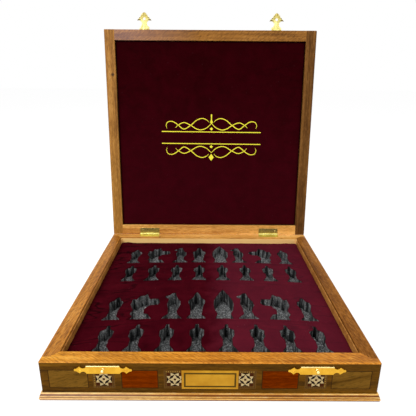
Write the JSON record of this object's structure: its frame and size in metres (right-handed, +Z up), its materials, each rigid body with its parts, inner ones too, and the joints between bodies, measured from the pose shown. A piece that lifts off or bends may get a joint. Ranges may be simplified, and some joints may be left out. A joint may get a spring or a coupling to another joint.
{
  "type": "chess piece case",
  "caption": "Square wooden case for chess pieces: foam tray with piece-shaped pockets under velvet, inlaid front, and a hinged board lid with two brass hasps.",
  "frame": {"origin": "centre of the case's underside, on the surface it stands on", "axes": "+X to the right along the front, +Y to the back where the hinges are, +Z up"},
  "size_m": [0.4076, 0.4575, 0.4825],
  "materials": {
    "rim_wood": "satin varnish",
    "walnut": "satin varnish",
    "mahogany": "satin varnish",
    "dark_string": "satin varnish",
    "bone": "satin varnish",
    "ebony": "satin varnish",
    "rosewood": "satin varnish",
    "mosaic": "satin varnish",
    "moulding_wood": "satin varnish",
    "plywood": "unfinished",
    "liner_wood": "unfinished",
    "board_light": "satin varnish",
    "board_dark": "satin varnish",
    "board_frame": "satin varnish",
    "foam": "open-cell foam",
    "velvet": "short pile",
    "brass": "polished",
    "hinge_brass": "polished"
  },
  "bodies": {
    "case": {"wall_front": "rim_wood", "wall_back": "rim_wood", "wall_left": "rim_wood", "wall_right": "rim_wood", "facing_front": "walnut", "facing_back": "walnut", "facing_left": "walnut", "facing_right": "walnut", "bottom_panel": "plywood", "walnut_panels": "walnut", "mahogany_panels": "mahogany", "panel_strings": "dark_string", "star_borders": "mosaic", "star_bone": "bone", "star_ebony": "ebony", "star_rosewood": "rosewood", "nameplate": "brass", "moulding_front": "moulding_wood", "moulding_right": "moulding_wood", "moulding_back": "moulding_wood", "moulding_left": "moulding_wood", "liner_strips": "liner_wood", "foam_base": "foam", "foam_row_1": "foam", "velvet_row_1": "velvet", "foam_row_2": "foam", "velvet_row_2": "velvet", "foam_row_3": "foam", "velvet_row_3": "velvet", "foam_row_4": "foam", "velvet_row_4": "velvet", "strike_plate_left": "brass", "strike_plate_right": "brass", "strike_knobs": "brass", "hinge_case_leaf_left": "hinge_brass", "hinge_case_leaf_right": "hinge_brass"},
    "lid": {"lid_rail_front": "rim_wood", "lid_rail_back": "rim_wood", "lid_rail_left": "rim_wood", "lid_rail_right": "rim_wood", "lid_panel": "plywood", "board_border": "board_frame", "board_light_squares": "board_light", "board_dark_squares": "board_dark", "lid_velvet": "velvet", "lid_lining_board": "plywood", "hinge_lid_leaf_left": "hinge_brass", "hinge_lid_leaf_right": "hinge_brass", "hasp_plate_left": "brass", "hasp_plate_right": "brass"},
    "hasp_left": {"hasp_fan_left": "brass"},
    "hasp_right": {"hasp_fan_right": "brass"}
  },
  "joints": [
    {"name": "lid_hinge", "type": "hinge", "parent": "case", "child": "lid", "pos_m": [0, 0.2, 0.0527], "axis": [1, 0, 0], "range_deg": [0, 94.7]},
    {"name": "hasp_left_pivot", "type": "hinge", "parent": "lid", "child": "hasp_left", "pos_m": [-0.125, 0.24257, 0.45215], "axis": [1, 0, 0], "range_deg": [-55, 90]},
    {"name": "hasp_right_pivot", "type": "hinge", "parent": "lid", "child": "hasp_right", "pos_m": [0.125, 0.24257, 0.45215], "axis": [1, 0, 0], "range_deg": [-55, 90]}
  ]
}
